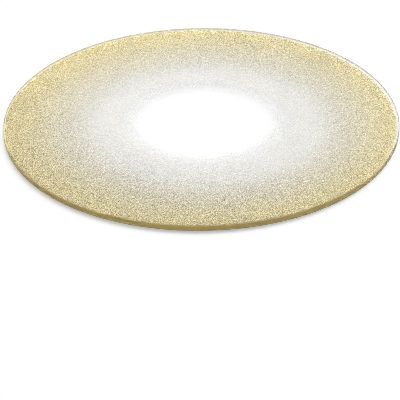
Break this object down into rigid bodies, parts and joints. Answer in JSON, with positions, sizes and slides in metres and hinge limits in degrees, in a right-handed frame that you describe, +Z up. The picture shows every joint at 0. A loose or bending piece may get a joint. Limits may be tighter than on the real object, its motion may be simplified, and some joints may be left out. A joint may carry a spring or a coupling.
{
  "type": "candle plate",
  "caption": "Round clear glass candle plate with gold glitter bonded under the glass, dense at the rim and fading to a clear centre, on low clear bumper feet.",
  "frame": {"origin": "centre of the plane that the feet rest on, under the centre of the plate", "axes": "+Z up, out of the face that carries the candles; -Y towards the front of the picture; +X to its right"},
  "size_m": [0.2, 0.2, 0.0049],
  "materials": {
    "clear_glass": "polished float glass with a ground edge",
    "gold_glitter": "pale gold glitter in a clear binder",
    "clear_lacquer": "clear gloss",
    "clear_bumper": "clear soft polyurethane",
    "adhesive": "clear acrylic adhesive"
  },
  "bodies": {
    "root": {"glass_disc": "clear_glass", "glitter_coat": "gold_glitter", "sealing_lacquer": "clear_lacquer", "bumper_foot_back_right": "clear_bumper", "bumper_foot_back_left": "clear_bumper", "bumper_foot_front_left": "clear_bumper", "bumper_foot_front_right": "clear_bumper", "adhesive_dot_back_right": "adhesive", "adhesive_dot_back_left": "adhesive", "adhesive_dot_front_left": "adhesive", "adhesive_dot_front_right": "adhesive"}
  },
  "joints": []
}
